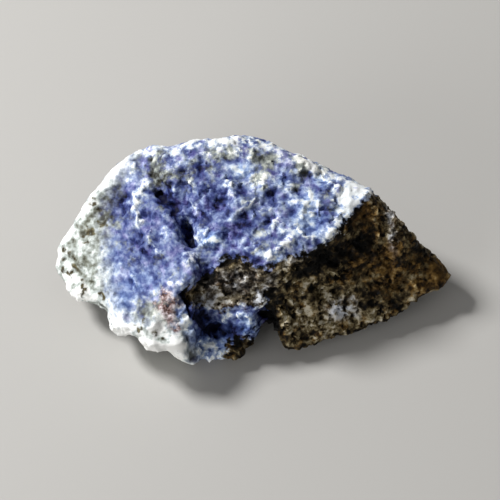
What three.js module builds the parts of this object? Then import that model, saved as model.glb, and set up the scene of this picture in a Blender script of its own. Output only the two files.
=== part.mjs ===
import * as THREE from "three";
import { ImprovedNoise } from "three/addons/math/ImprovedNoise.js";

// A rough sodalite: one stone, broken on every side, about 88 mm long.
// Millimetres, +Z up, +X along the stone, the flat spot it rests on at z = 0.
//
// Its broad broken face leans back, so the forms on it are laid out in a face frame:
// u runs along the stone, v runs up the face and w stands out of it.

const faceLean = THREE.MathUtils.degToRad(30);
const faceOrigin = new THREE.Vector3(0, 2.8, 17);

// What moves the finished stone to the middle of its own box in X and Y.
const centring = new THREE.Vector3(-0.785, -2.345, 0);

// The size of the cells that the surface is built from, and the box that they fill.
const cellSize = 1.62;
const workBox = new THREE.Box3(new THREE.Vector3(-48, -32, -1), new THREE.Vector3(50, 32, 36));

// The edge of the face, clockwise from the left tip, as [u, v].
const outline = [
  [-43.6, -4.5], [-42.6, 0.5], [-40.3, 5], [-37.7, 9.3], [-34.8, 13.2], [-31.7, 16.5],
  [-27.7, 20.3], [-25.5, 22], [-24.4, 22.9], [-17, 23], [-11.6, 24], [-5.4, 25], [-2, 25.3],
  [-0.4, 25], [4.6, 23.6], [8, 21.7], [11.8, 20.1], [17.6, 17.9], [21.8, 15.6], [26.6, 13],
  [28.8, 10.8], [33.3, 6], [35.7, 3.2], [40.5, -0.9], [42.9, -3.1], [45.6, -4.9], [45.4, -6.6],
  [41.3, -9.3], [36, -12.8], [30.5, -15.8], [23.5, -18.8], [14.8, -21.9], [8.4, -23.9],
  [7.3, -22.2], [6.1, -17.8], [3.5, -15], [2.2, -16.3], [1, -20.5], [0.2, -22.9], [-2.2, -24.2],
  [-8.8, -24.1], [-12.6, -25.2], [-14, -24.6], [-18.3, -22.1], [-21.7, -21.8], [-24.5, -19.7],
  [-26.4, -18.3], [-28.8, -17.8], [-30.6, -15.6], [-31.6, -13.5], [-35.5, -11.4], [-39.4, -9.9],
  [-41.3, -8.2], [-43.2, -6.8],
];

// The blocks that the face is broken into. Each stands inside its own edge, as high as the
// lowest of its flat faces, and falls away outside it by `flank` millimetres in each one.
// A face is three points [u, v, w] on its plane.
const blocks = [
  {
    name: "left lobe",
    edge: [
      [-48, -13], [-46, 11], [-31, 31], [-24, 22], [-21.5, 16], [-18.5, 10], [-15, 4.5],
      [-13.5, 0], [-11.5, -3.5], [-12.5, -6], [-14, -8], [-16, -11], [-16.5, -15], [-15.3, -20],
      [-13.4, -24], [-12.5, -28.5], [-28.5, -28.5],
    ],
    faces: [
      [[-13, -2.5, 9], [-42, -3.5, -3], [-26.5, 21, -3]],
      [[-38.5, -2.5, -2], [-18.5, -21, 11.5], [-31, -16.5, 1.5]],
      [[-16.5, -11, 9.5], [-22, -22, 8], [-13, -25.5, 7]],
    ],
    flank: 2.2,
    roughness: 0.5,
  },
  {
    name: "flank of the lobe",
    edge: [
      [-17, -8], [-14, -10], [-12.5, -14], [-11.5, -17], [-12, -19.5], [-14, -21.5], [-17, -21],
    ],
    faces: [[[-16.5, -10, 9], [-16.5, -21, 8.5], [-11.5, -16, 6]]],
    flank: 2,
    roughness: 0.8,
  },
  {
    name: "crown",
    edge: [
      [-24, 33], [31, 33], [29.5, 15.5], [25.5, 12.5], [22.5, 8.5], [20, 5], [13.5, 1],
      [10, -0.5], [7, -2], [3.5, -4.5], [-1, -2.5], [-6, -2], [-11, -4.5], [-13, 0],
      [-18.5, 10], [-22, 17.5],
    ],
    faces: [
      [[-2, 25, 2], [25.5, 13, 5], [6.5, -1.5, 11]],
      [[-12, 1, 5.5], [-22, 15.5, 1], [0, 7.5, 8.5]],
    ],
    flank: 1.4,
    roughness: 1,
  },
  {
    name: "mid slope",
    edge: [
      [-12.5, -6], [-9, -4], [-6, -2], [3.5, -4], [9, -1], [5, -9], [3.5, -10.5], [0, -12.5],
      [-3.5, -12.5], [-7.5, -14], [-11, -12.5], [-13.5, -13],
    ],
    faces: [[[-4.5, -2, 8], [-11, -11, 3], [2, -11, 4]]],
    flank: 1.5,
    roughness: 1.3,
  },
  {
    name: "pocket",
    edge: [[-14, -11], [1, -11], [2, -15], [1.5, -19], [-1, -22], [-4, -27.5], [-14, -27.5]],
    faces: [[[-12, -14, -3], [-4, -14, -4], [-8, -24, -7]]],
    flank: 2,
    roughness: 0.8,
  },
  {
    name: "step right of the pocket",
    edge: [[-7, -13], [-3, -12], [1.5, -13], [2, -17], [-1, -19.5], [-5.5, -18.5]],
    faces: [[[-6, -14, 2.5], [1.5, -14, 3], [-2, -19, 1]]],
    flank: 1.6,
    roughness: 1,
  },
  {
    name: "block below the pocket",
    edge: [[-12.5, -20], [-9.5, -19], [-6.5, -20], [-7, -24.5], [-12, -27]],
    faces: [[[-11, -19.5, 1], [-6, -19.5, 0], [-9, -24.5, -1.5]]],
    flank: 1.8,
    roughness: 1,
  },
  {
    name: "toe below the step",
    edge: [[-5.5, -20.5], [-1, -20], [-0.5, -23], [-3, -26], [-6, -25]],
    faces: [[[-5, -20, -0.5], [-1, -20, -1], [-3, -24, -1.5]]],
    flank: 1.6,
    roughness: 1,
  },
  {
    name: "gully",
    edge: [[1, -8], [7, -8], [10, -26], [-3, -26]],
    faces: [[[3.5, -9, 0], [-2, -20, -12], [9, -20, -12]]],
    flank: 2,
    roughness: 0.6,
  },
  {
    name: "shoulder",
    edge: [
      [6.5, -1], [33, 17.5], [53, -2.5], [46, -11], [24, -22], [9, -28.5], [7.5, -21.5],
      [5.5, -17], [5, -13], [5.5, -9],
    ],
    faces: [
      [[5.5, -13, 3], [9, -23, -2], [44, -4.5, -6]],
      [[29.5, 7.5, 3.5], [39.5, -2.5, -4], [37, 4, -1.5]],
    ],
    flank: 3.5,
    roughness: 0.9,
  },
];
const floorHeight = -14;

// Ridges (rise above 0), furrows (below 0) and lumps (from equals to) on the blocks.
const accents = [
  { name: "lobe ridge", from: [-25, 17], to: [-26, 5], reach: 1.4, rise: 0.9 },
  { name: "dip beside it", from: [-28.5, 14], to: [-28.5, 8], reach: 2.6, rise: -0.9 },
  { name: "rim of the lobe", from: [-39, 6], to: [-27, 20], reach: 1.2, rise: 0.7 },
  { name: "head of the crevice", from: [-21.5, 17], to: [-20, 13.5], reach: 1.8, rise: -1.3 },
  { name: "crevice", from: [-20.2, 13], to: [-14.5, 5.5], reach: 1.2, rise: -1.8 },
  { name: "deep end of the crevice", from: [-13.8, 5.2], to: [-13.2, 1.6], reach: 1.4, rise: -5 },
  { name: "fissure above the deep end", from: [-13.8, 8], to: [-15, 17], reach: 1.1, rise: -1 },
  { name: "step by the crevice", from: [-11, 4.5], to: [-8, 2.5], reach: 1.3, rise: 1.3 },
  { name: "ledge of the mid slope", from: [-8.5, -12.5], to: [2.5, -10.5], reach: 1.3, rise: 0.8 },
];

// The faces around and under the stone: a point on each, and the way it faces.
const hullFaces = [
  { name: "rear left", point: [-36.8, 16, 20], facing: [-0.79, 0.6, -0.12] },
  { name: "rear", point: [-14, 25, 20], facing: [-0.05, 1, -0.06] },
  { name: "rear right", point: [15, 20.5, 18], facing: [0.43, 0.9, -0.14] },
  { name: "rear foot", point: [0, 24, 9], facing: [0.1, 0.75, -0.65] },
  { name: "left undercut", point: [-45.2, 0, 8.6], facing: [-0.72, -0.1, -0.69] },
  { name: "right undercut", point: [46.5, 0, 7], facing: [0.35, 0.1, -0.93] },
  { name: "front of the base", point: [0, -3, 0], facing: [0.05, -0.15, -0.98] },
  { name: "back of the base", point: [0, 15, 0], facing: [0.04, 0.25, -0.97] },
  { name: "left of the base", point: [-15, 0, 0], facing: [-0.26, -0.05, -0.97] },
  { name: "right of the base", point: [12, 0, 0], facing: [0.15, 0.04, -0.99] },
];

// How far one form runs softly into the next.
const blockBlend = 0.9;
const rimBlend = 2.2;
const hullBlend = 1.6;

// How far the edges of the blocks wander from their straight lines, over what distance, and
// how much of that the outline does. The margin makes up for what the soft rim takes away.
const edgeWander = 0.8;
const edgeWanderSize = 6;
const outlineWanderShare = 0.15;
const rimMargin = 0.05;

// Chips are small flat faces, each tilted and set in or out by itself.
const chipSize = 5;
const chipStep = 0.55;
const chipTilt = 0.24;
const chipBlend = 0.25;

// Soft bumps and grains, which the chips are added to.
const bumpSize = 5.5;
const bumpHeight = 0.5;
const grainSize = 2.9;
const grainHeight = 0.25;

// How rough the sides are beside the blocks, and the last few millimetres above the base.
const sideRoughness = 0.9;
const baseRoughness = 0.25;
const baseReach = 4;
const faceReach = 0.5;

// How much calmer the surface is at the outline, and how far in from it.
const rimRoughness = 0.35;
const rimReach = 2.5;

// Parts of a cell: how far a point may be moved to settle it, and what counts as on the base.
const settleShare = 0.3;
const baseShare = 0.15;

const noise = new ImprovedNoise();
const noiseStart = new THREE.Vector3(31.7, 17.3, 53.1);
const noiseScale = 1.6;

/** Steady noise from about -1 to 1 at a point, with features of the given size. */
function noiseAt(x, y, z, size) {
  const at = new THREE.Vector3(x, y, z).divideScalar(size).add(noiseStart);
  return noiseScale * noise.noise(at.x, at.y, at.z);
}

/** The larger of two numbers, rounded over where they are within `blend` of each other. */
function smoothMax(a, b, blend) {
  const near = Math.max(blend - Math.abs(a - b), 0);
  return Math.max(a, b) + (near * near) / (4 * blend);
}

/** The distance from a point to the segment between two others. */
function distanceToSegment(u, v, [u0, v0], [u1, v1]) {
  const alongU = u1 - u0;
  const alongV = v1 - v0;
  const share = ((u - u0) * alongU + (v - v0) * alongV) / (alongU * alongU + alongV * alongV);
  const t = THREE.MathUtils.clamp(share, 0, 1);
  return Math.hypot(u - u0 - t * alongU, v - v0 - t * alongV);
}

/** The distance to a closed edge: below 0 inside it, above 0 outside. */
function distanceToEdge(u, v, edge) {
  let nearest = Infinity;
  let inside = false;
  edge.forEach((end, i) => {
    const start = edge.at(i - 1);
    nearest = Math.min(nearest, distanceToSegment(u, v, start, end));
    const crosses = start[1] > v !== end[1] > v;
    const crossingU = start[0] + ((v - start[1]) * (end[0] - start[0])) / (end[1] - start[1]);
    if (crosses && u < crossingU) inside = !inside;
  });
  return inside ? -nearest : nearest;
}

/** The height w of a face's plane, as a function of u and v. */
function planeHeight(points) {
  const [a, b, c] = points.map((point) => new THREE.Vector3(...point));
  const plane = new THREE.Plane().setFromCoplanarPoints(a, b, c);
  const { x, y, z } = plane.normal;
  return (u, v) => -(plane.constant + x * u + y * v) / z;
}

const solidBlocks = blocks.map(({ edge, faces, flank, roughness }) => ({
  edge,
  heights: faces.map(planeHeight),
  flank,
  roughness,
}));

/** The height of the face at u, v and how rough it is there. */
function faceRelief(u, v) {
  let height = floorHeight;
  const reached = solidBlocks.map(({ edge, heights, flank }) => {
    const outside = Math.max(distanceToEdge(u, v, edge), 0);
    const top = Math.min(...heights.map((heightAt) => heightAt(u, v)));
    const reach = top - flank * outside;
    height = smoothMax(height, reach, blockBlend);
    return reach;
  });
  let share = 0;
  let roughness = 0;
  solidBlocks.forEach((block, i) => {
    const weight = Math.exp(Math.min(reached[i] - height, 0));
    share += weight;
    roughness += weight * block.roughness;
  });
  for (const { from, to, reach, rise } of accents) {
    const away = distanceToSegment(u, v, from, to) / reach;
    height += rise * Math.exp(-away * away);
  }
  return { height, roughness: roughness / share };
}

/** A steady random number from 0 to 1 for whole numbers i, j, k and a channel. */
function randomAt(i, j, k, channel) {
  const mixed = Math.sin(i * 127.1 + j * 311.7 + k * 74.7 + channel * 191.3) * 43758.5453;
  return mixed - Math.floor(mixed);
}

/** How far the nearest chips push the surface out at a point. */
function chipHeight(x, y, z) {
  const cell = [x, y, z].map((value) => Math.floor(value / chipSize));
  let share = 0;
  let height = 0;
  for (let i = cell[0] - 1; i <= cell[0] + 1; i++) {
    for (let j = cell[1] - 1; j <= cell[1] + 1; j++) {
      for (let k = cell[2] - 1; k <= cell[2] + 1; k++) {
        const dx = x - chipSize * (i + randomAt(i, j, k, 0));
        const dy = y - chipSize * (j + randomAt(i, j, k, 1));
        const dz = z - chipSize * (k + randomAt(i, j, k, 2));
        const weight = Math.exp(-Math.hypot(dx, dy, dz) / chipBlend);
        const [step, tiltX, tiltY, tiltZ] = [3, 4, 5, 6].map((n) => 2 * randomAt(i, j, k, n) - 1);
        share += weight;
        height += weight * (chipStep * step + chipTilt * (tiltX * dx + tiltY * dy + tiltZ * dz));
      }
    }
  }
  return height / share;
}

const hull = hullFaces.map(({ point, facing }) => {
  const normal = new THREE.Vector3(...facing).normalize();
  return new THREE.Plane().setFromNormalAndCoplanarPoint(normal, new THREE.Vector3(...point));
});

/** Below 0 inside the stone, above 0 outside it, 0 on its surface. */
function stoneField(point) {
  const { x, y, z } = point;
  const back = y - faceOrigin.y;
  const up = z - faceOrigin.z;
  const u = x - faceOrigin.x;
  const v = back * Math.cos(faceLean) + up * Math.sin(faceLean);
  const w = -back * Math.sin(faceLean) + up * Math.cos(faceLean);

  const wanderU = edgeWander * noiseAt(x, y, z, edgeWanderSize);
  const wanderV = edgeWander * noiseAt(z, x, y, edgeWanderSize);
  const relief = faceRelief(u + wanderU, v + wanderV);
  const rimU = u + outlineWanderShare * wanderU;
  const rimV = v + outlineWanderShare * wanderV;
  const rim = distanceToEdge(rimU, rimV, outline) - rimMargin;
  const belowFace = w - relief.height;

  let outside = smoothMax(belowFace, rim, rimBlend);
  for (const plane of hull) outside = smoothMax(outside, plane.distanceToPoint(point), hullBlend);

  const sides = sideRoughness * THREE.MathUtils.lerp(baseRoughness, 1, Math.min(z / baseReach, 1));
  const calm = THREE.MathUtils.lerp(rimRoughness, 1, THREE.MathUtils.clamp(-rim / rimReach, 0, 1));
  const roughness = calm * (outside > belowFace + faceReach ? sides : relief.roughness);
  const bumps = bumpHeight * noiseAt(y, z, x, bumpSize) + grainHeight * noiseAt(x, z, y, grainSize);
  outside -= roughness * (bumps + chipHeight(x, y, z));
  return Math.max(outside, -z);
}

/** Moves a point that is near the surface onto it, by at most `limit`. */
function settle(field, point, limit) {
  const step = 0.05;
  const leastSlopeSquared = 0.25;
  const here = field(point);
  const slope = new THREE.Vector3();
  for (const axis of ["x", "y", "z"]) {
    const beside = point.clone();
    beside[axis] += step;
    slope[axis] = (field(beside) - here) / step;
  }
  const move = slope.multiplyScalar(-here / Math.max(slope.lengthSq(), leastSlopeSquared));
  return point.add(move.clampLength(0, limit));
}

/** One closed surface where the field is 0, with a point in each cell that it crosses. */
function surfaceGeometry(field, box, size) {
  const counts = box.getSize(new THREE.Vector3()).divideScalar(size).ceil().toArray();
  // The levels lie half a cell above and below z = 0, so the base comes out flat.
  const low = new THREE.Vector3(box.min.x, box.min.y, -0.5 * size);
  const strides = [1, counts[0], counts[0] * counts[1]];
  const indexOf = (i, j, k) => i + j * strides[1] + k * strides[2];
  const pointOf = (i, j, k) => new THREE.Vector3(i, j, k).multiplyScalar(size).add(low);

  const values = new Float64Array(counts[0] * counts[1] * counts[2]);
  const eachCorner = (visit) => {
    for (let k = 0; k < counts[2]; k++)
      for (let j = 0; j < counts[1]; j++)
        for (let i = 0; i < counts[0]; i++) visit(i, j, k);
  };
  eachCorner((i, j, k) => {
    values[indexOf(i, j, k)] = field(pointOf(i, j, k));
  });
  fillDiagonals(values, strides);

  const positions = [];
  const pointInCell = new Map();
  eachCorner((i, j, k) => {
    if (i + 1 >= counts[0] || j + 1 >= counts[1] || k + 1 >= counts[2]) return;
    const crossing = crossingCentre(values, indexOf(i, j, k), strides);
    if (!crossing) return;
    const point = pointOf(i, j, k).addScaledVector(crossing, size);
    settle(field, point, settleShare * size);
    if (point.z < baseShare * size) point.z = 0;
    pointInCell.set(indexOf(i, j, k), positions.length / 3);
    positions.push(...point);
  });

  const triangles = [];
  eachCorner((i, j, k) => {
    const here = indexOf(i, j, k);
    for (let axis = 0; axis < 3; axis++) {
      if ([i, j, k][axis] + 1 >= counts[axis]) continue;
      const inside = values[here] < 0;
      if (inside === values[here + strides[axis]] < 0) continue;
      const b = strides[(axis + 1) % 3];
      const c = strides[(axis + 2) % 3];
      const ring = [here - b - c, here - c, here, here - b].map((cell) => pointInCell.get(cell));
      if (!inside) ring.reverse();
      triangles.push(...splitQuad(ring, positions));
    }
  });

  const geometry = new THREE.BufferGeometry();
  geometry.setAttribute("position", new THREE.Float32BufferAttribute(positions, 3));
  geometry.setIndex(triangles);
  geometry.computeVertexNormals();
  return geometry;
}

/** Fills in corners until no cell face is inside at one diagonal only, which would pinch there. */
function fillDiagonals(values, strides) {
  const justInside = -0.1;
  const inside = (index) => values[index] < 0;
  const last = values.length - strides[1] - strides[2];
  let changed = true;
  while (changed) {
    changed = false;
    for (let a = 0; a < last; a++) {
      for (const [s, t] of [[0, 1], [1, 2], [0, 2]]) {
        const b = a + strides[s];
        const c = a + strides[t];
        const d = b + strides[t];
        if (inside(a) !== inside(d) || inside(b) !== inside(c) || inside(a) === inside(b)) continue;
        const outer = inside(a) ? b : a;
        values[outer] = justInside;
        changed = true;
      }
    }
  }
}

/** The mean of the places where a cell's edges cross the surface, from 0 to 1 in each axis. */
function crossingCentre(values, corner, strides) {
  const sum = new THREE.Vector3();
  let count = 0;
  for (let axis = 0; axis < 3; axis++) {
    const b = (axis + 1) % 3;
    const c = (axis + 2) % 3;
    for (const [atB, atC] of [[0, 0], [1, 0], [0, 1], [1, 1]]) {
      const start = corner + atB * strides[b] + atC * strides[c];
      const from = values[start];
      const to = values[start + strides[axis]];
      if (from < 0 === to < 0) continue;
      const crossing = new THREE.Vector3();
      crossing.setComponent(axis, from / (from - to));
      crossing.setComponent(b, atB);
      crossing.setComponent(c, atC);
      sum.add(crossing);
      count++;
    }
  }
  return count ? sum.divideScalar(count) : null;
}

/** The two triangles of a four-sided ring of points, cut along its shorter diagonal. */
function splitQuad([a, b, c, d], positions) {
  const pointAt = (index) => new THREE.Vector3().fromArray(positions, 3 * index);
  const firstShorter = pointAt(a).distanceTo(pointAt(c)) < pointAt(b).distanceTo(pointAt(d));
  return firstShorter ? [a, b, c, a, c, d] : [a, b, d, b, c, d];
}

/** The stone: indigo to white sodalite under a brown weathered shoulder. */
function sodaliteStone() {
  const surface = surfaceGeometry(stoneField, workBox, cellSize).translate(...centring);
  const material = new THREE.MeshStandardMaterial({ color: 0x7482b8, roughness: 0.7, metalness: 0 });
  const mesh = new THREE.Mesh(surface, material);
  mesh.name = "sodalite_stone";
  return mesh;
}

const stone = new THREE.Group();
stone.add(sodaliteStone());

export default stone;
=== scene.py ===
import math

import bpy
import numpy as np
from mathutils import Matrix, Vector, noise


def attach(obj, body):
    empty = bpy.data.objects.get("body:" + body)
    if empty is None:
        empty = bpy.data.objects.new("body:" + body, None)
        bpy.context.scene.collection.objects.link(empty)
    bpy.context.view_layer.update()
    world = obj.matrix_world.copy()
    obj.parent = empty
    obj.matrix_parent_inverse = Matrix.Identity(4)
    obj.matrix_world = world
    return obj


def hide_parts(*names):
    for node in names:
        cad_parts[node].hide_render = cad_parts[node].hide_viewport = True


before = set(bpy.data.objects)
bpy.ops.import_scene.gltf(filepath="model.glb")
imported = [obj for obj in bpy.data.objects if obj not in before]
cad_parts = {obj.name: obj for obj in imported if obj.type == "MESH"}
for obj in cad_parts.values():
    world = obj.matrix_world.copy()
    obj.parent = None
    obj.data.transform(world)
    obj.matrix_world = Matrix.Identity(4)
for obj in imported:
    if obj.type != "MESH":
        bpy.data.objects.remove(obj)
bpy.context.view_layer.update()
mm = 0.001  # m
print("frame loaded")


class Wire:
    # one output of a node, which sums can be written with
    def __init__(self, sheet, socket):
        self.sheet = sheet
        self.socket = socket

    def reckon(self, operation, *values):
        return self.sheet.node("ShaderNodeMath", {"operation": operation}, dict(enumerate(values)))

    def __add__(self, other):
        return self.reckon("ADD", self, other)

    def __sub__(self, other):
        return self.reckon("SUBTRACT", self, other)

    def __rsub__(self, other):
        return self.reckon("SUBTRACT", other, self)

    def __mul__(self, other):
        return self.reckon("MULTIPLY", self, other)

    def __truediv__(self, other):
        return self.reckon("DIVIDE", self, other)

    def __rtruediv__(self, other):
        return self.reckon("DIVIDE", other, self)

    __radd__ = __add__
    __rmul__ = __mul__


class Sheet:
    # a node tree that nodes are laid on
    def __init__(self, tree):
        self.tree = tree

    def node(self, kind, settings=None, sockets=None, output=0):
        made = self.tree.nodes.new(kind)
        for name, value in (settings or {}).items():
            if name == "stops":
                self.setStops(made.color_ramp, value)
            else:
                setattr(made, name, value)
        for key, value in (sockets or {}).items():
            if isinstance(value, Wire):
                self.tree.links.new(value.socket, made.inputs[key])
            else:
                made.inputs[key].default_value = value
        return Wire(self, made.outputs[output]) if made.outputs else None

    def setStops(self, ramp, stops):
        while len(ramp.elements) < len(stops):
            ramp.elements.new(1)
        for element, (place, colour) in zip(ramp.elements, stops):
            element.position = place
            element.color = linear(colour)

    def twin(self, wire, output):
        # another output of the node that a wire comes from
        return Wire(self, wire.socket.node.outputs[output])

    def clamp(self, value, low=0.0, high=1.0):
        return self.node("ShaderNodeClamp", {}, {0: value, 1: low, 2: high})

    def rise(self, value, low, high):
        # 0 below low, 1 above high, and a smooth step between
        sockets = {0: value, 1: low, 2: high, 3: 0.0, 4: 1.0}
        return self.node("ShaderNodeMapRange", {"interpolation_type": "SMOOTHSTEP"}, sockets)

    def vector(self, operation, *values, output=0):
        sockets = dict(enumerate(values))
        return self.node("ShaderNodeVectorMath", {"operation": operation}, sockets, output)

    def scaled(self, vector, factor):
        sockets = {0: vector, "Scale": factor}
        return self.node("ShaderNodeVectorMath", {"operation": "SCALE"}, sockets)

    def mix(self, share, first, second):
        sockets = {0: share, 6: first, 7: second}
        return self.node("ShaderNodeMix", {"data_type": "RGBA"}, sockets, 2)

    def noise(self, place, size, detail=2.0, roughness=0.5):
        # 0 on average, and rarely past 0.25 either way
        sockets = {"Vector": self.scaled(place, 1 / size), "Scale": 1.0, "Detail": detail,
                   "Roughness": roughness}
        return self.node("ShaderNodeTexNoise", {}, sockets) - 0.5

    def shaken(self, place, size, scale, share, detail=1.0):
        # places in cells of that size, shaken by a noise, so that the cells' edges are ragged
        small = self.scaled(place, 1 / size)
        sockets = {"Vector": small, "Scale": scale, "Detail": detail}
        shake = self.node("ShaderNodeTexNoise", {}, sockets, "Color")
        return self.vector("ADD", small, self.scaled(shake, share))

    def facets(self, place, size):
        # one even shade to each small broken face, from -0.5 to 0.5
        sockets = {"Vector": self.shaken(place, size, 2.2, 0.5), "Scale": 1.0}
        cell = self.node("ShaderNodeTexVoronoi", {"feature": "F1"}, sockets, "Color")
        return self.node("ShaderNodeSeparateColor", {}, {0: cell}) - 0.5

    def ramp(self, value, stops):
        return self.node("ShaderNodeValToRGB", {"stops": stops}, {0: value})


def linear(colour):
    # a colour given as 0 to 255 on screen, as the renderer reads it
    shares = [value / 255 for value in colour]
    return tuple(s / 12.92 if s <= 0.04045 else ((s + 0.055) / 1.055) ** 2.4 for s in shares) + (1,)


# The colours and the finer relief are drawn in small squares on the broad face: the first
# number runs along the stone and the second up the face, from the face's middle.
face = {
    "lean": math.radians(30),  # how far the face leans back
    "middle": (-0.785, 0.455, 17),  # mm, in the shared frame
    "square": 0.22,  # mm
    "wobble": 4.2,  # squares that drawn edges wander by
    "wobbleSize": 1.3,  # mm, the length of that wander
    "wobbleSeed": 5,  # never 0, which would give other edges in each run
    "turnedAway": -0.35,  # cosine of the turn from the face at which drawn marks are gone
    "turnFade": 0.3,  # and the part of the cosine that they fade over
    "backFrom": 4,  # mm behind the face's middle, where the back's duller skin starts
    "backFade": 6,  # mm, the width of its soft start
}

# The outlines of the three zones that the broad face has beside its blue crown.
zoneEdges = {
    "brown": [
        (-68, -44), (-59, -36), (-48, -28), (-40, -21), (-33, -12), (-24, -6), (-12, -6), (-3, -11),
        (6, -14), (18, -18), (26, -12), (34, -9), (46, -5), (58, -1), (68, 4), (77, 9), (86, 15),
        (92, 23), (97, 32), (106, 41), (115, 50), (124, 57), (135, 54), (160, 60), (230, 10),
        (230, -80), (50, -140), (-28, -140), (-26, -112), (-24, -93), (-10, -86), (6, -88),
        (14, -68), (17, -48), (7, -54), (-15, -57), (-35, -61), (-50, -57), (-60, -53), (-66, -47),
    ],
    "rind": [
        (-210, -40), (-200, 10), (-175, 45), (-155, 70), (-130, 100), (-118, 103), (-130, 82),
        (-143, 58), (-150, 35), (-150, 5), (-148, -15), (-146, -30), (-144, -49), (-138, -66),
        (-126, -77), (-111, -74), (-98, -73), (-88, -75), (-79, -80), (-71, -86), (-64, -95),
        (-59, -106), (-57, -118), (-62, -135), (-150, -135), (-210, -70),
    ],
    "lobe": [
        (-230, -70), (-210, 50), (-140, 140), (-113, 100), (-98, 73), (-84, 46), (-70, 18),
        (-61, 0), (-52, -16), (-64, -36), (-73, -50), (-73, -90), (-57, -130), (-160, -145),
    ],
}

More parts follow.
